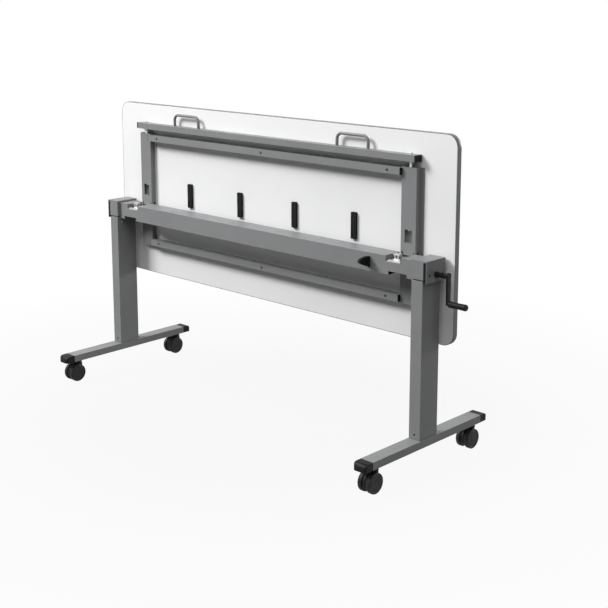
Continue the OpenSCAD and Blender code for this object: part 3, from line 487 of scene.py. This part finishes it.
def socket_screws(node_name, body, direction, head_height, crown=SCREW_CROWN):
    """Stands button-head screws in the place of a node's plain ones."""
    work = bmesh.new()
    for low, high in loose_parts(node_name):
        middle = (low + high) / 2
        out = Vector(direction(middle))
        axis = [abs(c) for c in out].index(1)
        sizes = [high[i] - low[i] for i in range(3) if i != axis]
        top = middle + out * (high[axis] - low[axis]) / 2
        length = high[axis] - low[axis] - head_height
        add_screw(work, top - out * head_height, out, sizes[0] / 2, head_height,
                  SHANK_RADIUS, length, crown)
    piece = new_piece(node_name + "_detailed", finish_mesh(work, node_name), SLOTS[node_name], body)
    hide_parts(node_name)


def detailed_screws():
    """Sockets in the heads of the covers' screws and of the hinges' screws."""
    def outward(middle):
        return (math.copysign(1, middle.x - TABLE_X), 0, 0)

    def upward(middle):
        return (0, 0, 1)

    socket_screws("cover_screws", "frame", outward, COVER_SCREW_HEAD)
    socket_screws("hinge_screws", "frame", upward, HINGE_SCREW_HEAD, HINGE_SCREW_CROWN)


def leg_screw(name, side, seat, direction, length, slot):
    """One screw on a column, riding on its leg."""
    work = bmesh.new()
    add_screw(work, Vector(seat), Vector(direction), COLUMN_SCREW_RADIUS, COLUMN_SCREW_HEAD,
              SHANK_RADIUS, length)
    new_piece(name + "_" + side, finish_mesh(work, name), slot, "leg_" + side)


def column_screws():
    """On each column a screw low on its front, and one for the glides high on its inner side."""
    for side, inward in (("left", 1), ("right", -1)):
        low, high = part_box("outer_column_" + side)
        leg_screw("column_screw", side,
                  ((low.x + high.x) / 2, low.y, low.z + COLUMN_SCREW_RISE),
                  (0, -1, 0), COLUMN_SCREW_LENGTH, "black_steel")
        leg_screw("glide_screw", side,
                  (high.x if inward > 0 else low.x, low.y + GLIDE_SCREW_INSET,
                   high.z - GLIDE_SCREW_INSET),
                  (inward, 0, 0), GLIDE_SCREW_LENGTH, "zinc_steel")


def beam_shade_blocks():
    """Black blocks with a recessed face that fill each end of the beam below the bracket: painted
    shade, standing in for the dark inside of the open beam ends.
    """
    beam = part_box("beam")
    for side, outward in (("left", -1), ("right", 1)):
        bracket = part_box("bracket_" + side)
        end = beam[1].x if outward > 0 else beam[0].x
        places = sorted((end - outward * INSERT_INSET, end - outward * INSERT_LENGTH))
        low = Vector((places[0], beam[0].y + INSERT_PLAY, beam[0].z + INSERT_PLAY))
        high = Vector((places[1], bracket[1].y - 2 * INSERT_PLAY,
                       bracket[0].z + LIP_HEIGHT - INSERT_PLAY / 4))
        work = bmesh.new()
        bmesh.ops.create_cube(work, size=1.0)
        for vertex in work.verts:
            vertex.co = Vector([low[i] + (vertex.co[i] + 0.5) * (high[i] - low[i])
                                for i in range(3)])
        work.normal_update()
        face = [f for f in work.faces if f.normal.x * outward > 0.9]
        bmesh.ops.inset_region(work, faces=face, thickness=INSERT_RIM, depth=-INSERT_RECESS)
        bmesh.ops.bevel(work, geom=work.edges[:], offset=INSERT_EDGE, segments=2, affect="EDGES")
        # Painted shade: a black block where the open beam end is only in shade
        new_piece("beam_shade_block_" + side, finish_mesh(work, "beam_shade_block"), "black_plastic", "frame")


def add_weld_ring(work, centre, radius, bead):
    """Rippled bead of weld round a rod that stands on a face."""
    around, across = 72, 8
    rows = []
    for i in range(around):
        turn = 2 * math.pi * i / around
        thick = bead * (1 + WELD_RIPPLE_SHARE * math.sin(WELD_RIPPLES * turn))
        out = Vector((math.cos(turn), math.sin(turn), 0))
        row = []
        for j in range(across):
            angle = 2 * math.pi * j / across
            point = centre + out * (radius + thick * math.cos(angle))
            row.append(work.verts.new(point + Vector((0, 0, thick * math.sin(angle)))))
        rows.append(row)
    for i in range(around):
        for j in range(across):
            k, m = (i + 1) % around, (j + 1) % across
            work.faces.new((rows[i][j], rows[k][j], rows[k][m], rows[i][m]))


def handle_welds():
    """Beads where the two legs of each handle stand on the release bar."""
    for side in ("left", "right"):
        low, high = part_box("bar_handle_" + side)
        rod = (high.y - low.y) / 2
        work = bmesh.new()
        for x in (low.x + rod, high.x - rod):
            add_weld_ring(work, Vector((x, (low.y + high.y) / 2, low.z)), rod, WELD_BEAD)
        new_piece("handle_welds_" + side, finish_mesh(work, "handle_welds", 60.0), "grey_paint",
                  "release")


# Floor, light and camera

def floor():
    """Pale floor that keeps a faint shadow near the object and fades to white further out."""
    mesh = bpy.data.meshes.new("floor")
    corners = [(x * FLOOR_HALF, y * FLOOR_HALF, 0)
               for x, y in ((-1, -1), (1, -1), (1, 1), (-1, 1))]
    mesh.from_pydata(corners, [], [(0, 1, 2, 3)])
    piece = bpy.data.objects.new("floor", mesh)
    bpy.context.scene.collection.objects.link(piece)
    material = bpy.data.materials.new("floor")
    material.use_nodes = True
    tree = material.node_tree
    tree.nodes.clear()
    add = tree.nodes.new
    diffuse = add("ShaderNodeBsdfDiffuse")
    diffuse.inputs["Color"].default_value = (*3 * (FLOOR_ALBEDO,), 1.0)
    glow = add("ShaderNodeEmission")
    glow.inputs["Strength"].default_value = 1.0
    rays = add("ShaderNodeLightPath")
    place = add("ShaderNodeTexCoord")
    distance = add("ShaderNodeVectorMath")
    distance.operation = "LENGTH"
    fade = add("ShaderNodeMapRange")
    fade.inputs["From Min"].default_value = FLOOR_FADE_START
    fade.inputs["From Max"].default_value = FLOOR_FADE_END
    fade.inputs["To Min"].default_value = FLOOR_GLOW_NEAR
    fade.inputs["To Max"].default_value = 1.0
    seen = add("ShaderNodeMath")
    seen.operation = "MAXIMUM"
    share = add("ShaderNodeMath")
    share.operation = "MULTIPLY"
    shader = add("ShaderNodeMixShader")
    output = add("ShaderNodeOutputMaterial")
    link = tree.links.new
    link(place.outputs["Object"], distance.inputs[0])
    link(distance.outputs["Value"], fade.inputs["Value"])
    link(rays.outputs["Is Camera Ray"], seen.inputs[0])
    link(rays.outputs["Is Glossy Ray"], seen.inputs[1])
    link(seen.outputs["Value"], share.inputs[0])
    link(fade.outputs["Result"], share.inputs[1])
    link(share.outputs["Value"], shader.inputs["Fac"])
    link(diffuse.outputs["BSDF"], shader.inputs[1])
    link(glow.outputs["Emission"], shader.inputs[2])
    link(shader.outputs["Shader"], output.inputs["Surface"])
    mesh.materials.append(material)


def area_light(name, place, target, size, watts):
    """Rectangular lamp aimed at a target."""
    data = bpy.data.lights.new(name, "AREA")
    data.shape = "RECTANGLE"
    data.size, data.size_y = size
    data.energy = watts
    lamp = bpy.data.objects.new(name, data)
    lamp.location = place
    lamp.rotation_euler = (Vector(target) - Vector(place)).to_track_quat("-Z", "Y").to_euler()
    bpy.context.scene.collection.objects.link(lamp)


def world():
    """White to the camera and to reflections, a plain soft level to everything else."""
    sky = bpy.data.worlds.new("studio")
    bpy.context.scene.world = sky
    sky.use_nodes = True
    tree = sky.node_tree
    background = tree.nodes["Background"]
    background.inputs["Color"].default_value = (1.0, 1.0, 1.0, 1.0)
    rays = tree.nodes.new("ShaderNodeLightPath")
    seen = tree.nodes.new("ShaderNodeMath")
    seen.operation = "MAXIMUM"
    level = tree.nodes.new("ShaderNodeMapRange")
    level.inputs["To Min"].default_value = AMBIENT
    level.inputs["To Max"].default_value = 1.0
    shiny = tree.nodes.new("ShaderNodeMath")
    shiny.operation = "MAXIMUM"
    tree.links.new(rays.outputs["Is Camera Ray"], seen.inputs[0])
    tree.links.new(rays.outputs["Is Transmission Ray"], shiny.inputs[0])
    tree.links.new(rays.outputs["Is Glossy Ray"], shiny.inputs[1])
    tree.links.new(shiny.outputs["Value"], seen.inputs[1])
    tree.links.new(seen.outputs["Value"], level.inputs["Value"])
    tree.links.new(level.outputs["Result"], background.inputs["Strength"])


def camera():
    """The fitted camera, set up from the constants at the top."""
    data = bpy.data.cameras.new("camera")
    data.sensor_width = SENSOR_WIDTH
    data.lens = CAMERA_LENS
    data.shift_y = CAMERA_SHIFT_Y
    data.clip_end = 1000.0
    view = bpy.data.objects.new("camera", data)
    azimuth, elevation = math.radians(CAMERA_AZIMUTH), math.radians(CAMERA_ELEVATION)
    direction = Vector((-math.sin(azimuth) * math.cos(elevation),
                        math.cos(azimuth) * math.cos(elevation), -math.sin(elevation)))
    view.location = Vector(CAMERA_PLACE) + Vector((TABLE_X, 0, 0))
    view.rotation_euler = direction.to_track_quat("-Z", "Y").to_euler()
    bpy.context.scene.collection.objects.link(view)
    bpy.context.scene.camera = view


camera()
world()
floor()
for lamp in LAMPS:
    area_light(*lamp)
dress_nodes()
detailed_screws()
column_screws()
beam_shade_blocks()
handle_welds()

bpy.context.scene.view_settings.view_transform = "Standard"
